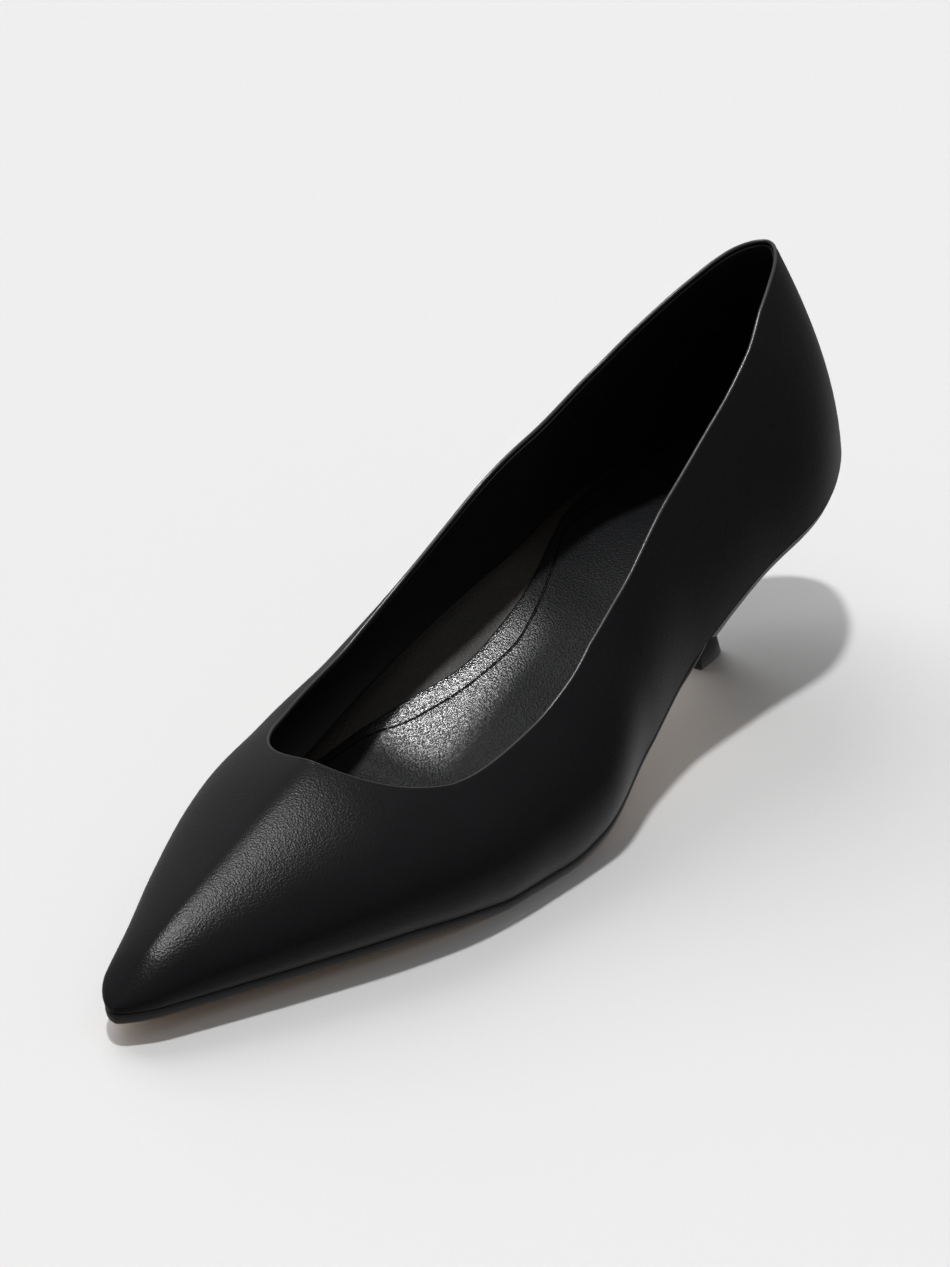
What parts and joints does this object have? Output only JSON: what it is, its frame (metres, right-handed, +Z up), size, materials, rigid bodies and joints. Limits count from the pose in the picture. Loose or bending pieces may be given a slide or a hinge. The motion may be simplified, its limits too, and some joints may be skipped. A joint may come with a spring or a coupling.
{
  "type": "pointed toe pump",
  "caption": "Women's pointed toe pump with a low kitten heel, a black leather upper, a leather sole and a leather-covered breast.",
  "frame": {"origin": "on the floor, under the middle of the shoe's box", "axes": "+Y from the toe to the back of the heel, +X to the outer side of the foot, +Z up"},
  "size_m": [0.0752, 0.2654, 0.0922],
  "materials": {
    "upper_leather": "smooth black calf with a fine grain and a soft shine",
    "sole_leather": "tan sole leather with a black painted edge",
    "sock_leather": "glossy black grained leather",
    "heel_plastic": "moulded heel under black leather, satin",
    "lift_rubber": "hard black rubber"
  },
  "bodies": {
    "root": {"upper": "upper_leather", "outsole": "sole_leather", "insole": "sock_leather", "heel": "heel_plastic", "top_lift": "lift_rubber"}
  },
  "joints": []
}
